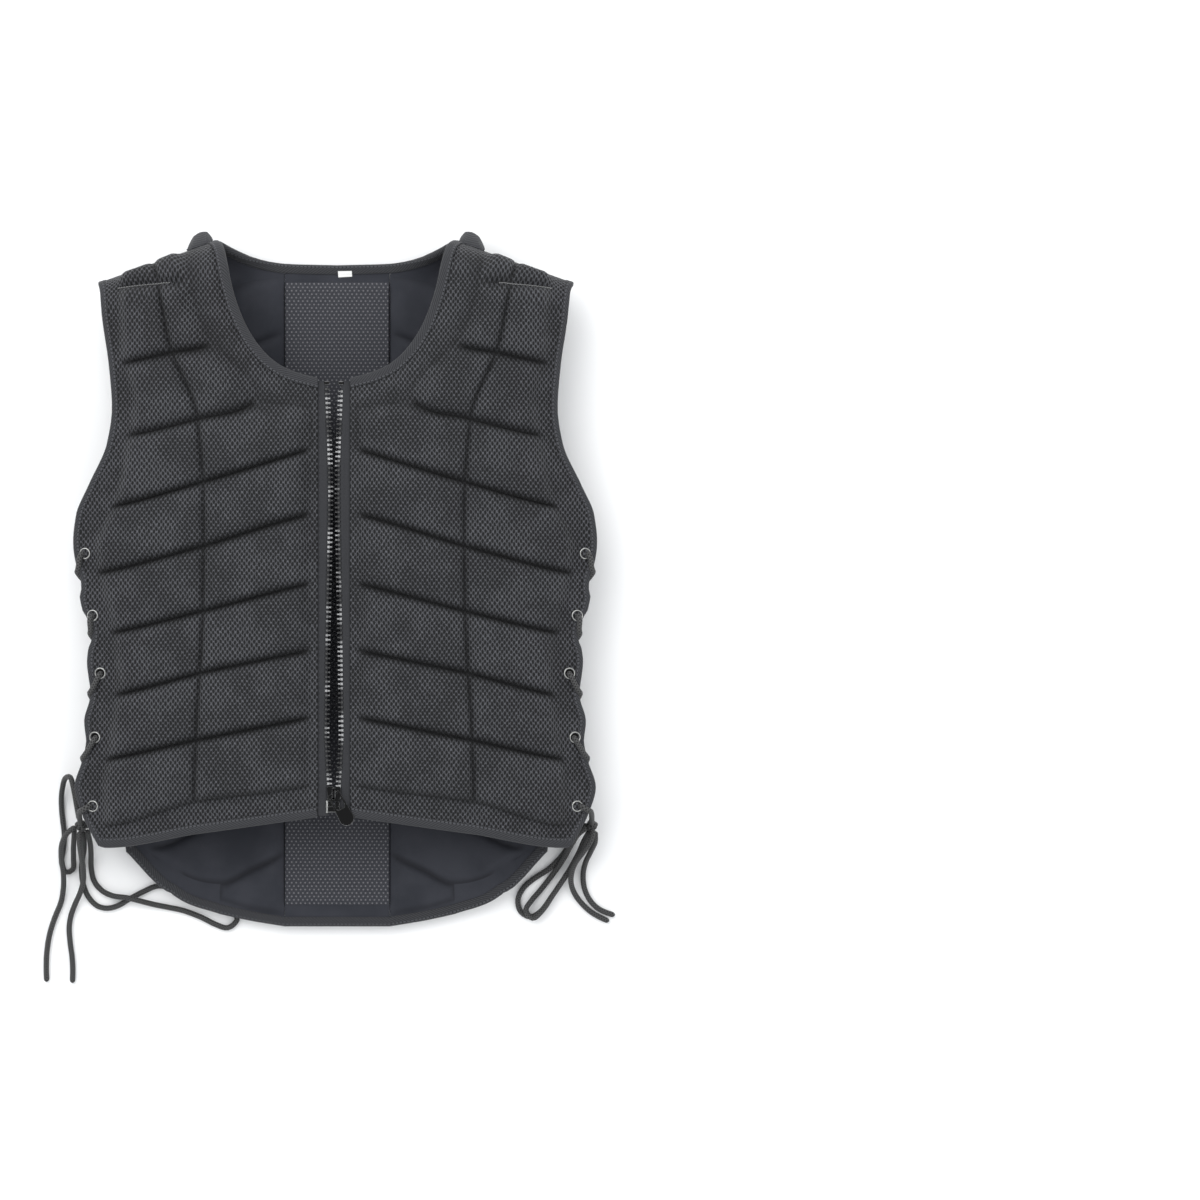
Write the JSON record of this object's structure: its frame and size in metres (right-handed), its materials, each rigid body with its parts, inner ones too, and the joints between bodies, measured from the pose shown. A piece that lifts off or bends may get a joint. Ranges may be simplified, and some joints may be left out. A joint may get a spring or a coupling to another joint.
{
  "type": "equestrian body protector",
  "caption": "Sleeveless padded riding vest lying flat: foam blocks in air mesh, front zip, laced sides, drop back hem.",
  "frame": {"origin": "centre of the garment's outline, at the level of the back pads' outer faces that it lies on", "axes": "+Y from the hem to the neck, +Z from the back to the front, out of the zip, +X to the viewer's right"},
  "size_m": [0.4979, 0.6496, 0.0848],
  "materials": {
    "air_mesh": "matte",
    "lining": "matte",
    "binding_tape": "matte",
    "zip_tape": "matte",
    "lace_cord": "matte",
    "label_cloth": "matte",
    "nickel": "polished",
    "gunmetal": "satin"
  },
  "bodies": {
    "vest": {"front_left_panel": "air_mesh", "front_right_panel": "air_mesh", "back_left_panel": "air_mesh", "back_right_panel": "air_mesh", "spine_panel": "air_mesh", "spine_lining": "lining", "side_binding_left": "binding_tape", "side_binding_right": "binding_tape", "front_hem_binding_left": "binding_tape", "front_hem_binding_right": "binding_tape", "back_hem_binding": "binding_tape", "neck_binding": "binding_tape", "eyelet_front_left_1": "nickel", "eyelet_front_left_2": "nickel", "eyelet_front_left_3": "nickel", "eyelet_front_left_4": "nickel", "eyelet_front_left_5": "nickel", "eyelet_front_right_1": "nickel", "eyelet_front_right_2": "nickel", "eyelet_front_right_3": "nickel", "eyelet_front_right_4": "nickel", "eyelet_front_right_5": "nickel", "eyelet_back_left_1": "nickel", "eyelet_back_left_2": "nickel", "eyelet_back_left_3": "nickel", "eyelet_back_left_4": "nickel", "eyelet_back_left_5": "nickel", "eyelet_back_right_1": "nickel", "eyelet_back_right_2": "nickel", "eyelet_back_right_3": "nickel", "eyelet_back_right_4": "nickel", "eyelet_back_right_5": "nickel", "zip_chain_left": "gunmetal", "zip_chain_right": "gunmetal", "zip_tape_left": "zip_tape", "zip_tape_right": "zip_tape", "zip_top_stop_left": "nickel", "zip_top_stop_right": "nickel", "zip_box": "nickel", "zip_slider": "gunmetal", "hanging_loop_left": "binding_tape", "hanging_loop_right": "binding_tape", "neck_label": "label_cloth", "side_lace_left": "lace_cord", "side_lace_right": "lace_cord", "lace_knot_left": "lace_cord", "lace_knot_right": "lace_cord", "lace_loop_left_1": "lace_cord", "lace_loop_left_2": "lace_cord", "lace_tail_left_1": "lace_cord", "lace_tail_left_2": "lace_cord", "lace_loop_right_1": "lace_cord", "lace_loop_right_2": "lace_cord", "lace_tail_right_1": "lace_cord", "lace_tail_right_2": "lace_cord"},
    "zip_pull": {"zip_pull": "gunmetal"}
  },
  "joints": [
    {"name": "zip_pull_hinge", "type": "hinge", "parent": "vest", "child": "zip_pull", "pos_m": [0, -0.18321, 0.07892], "axis": [-0.8829, -0.4695, 0], "range_deg": [0, 165]}
  ]
}
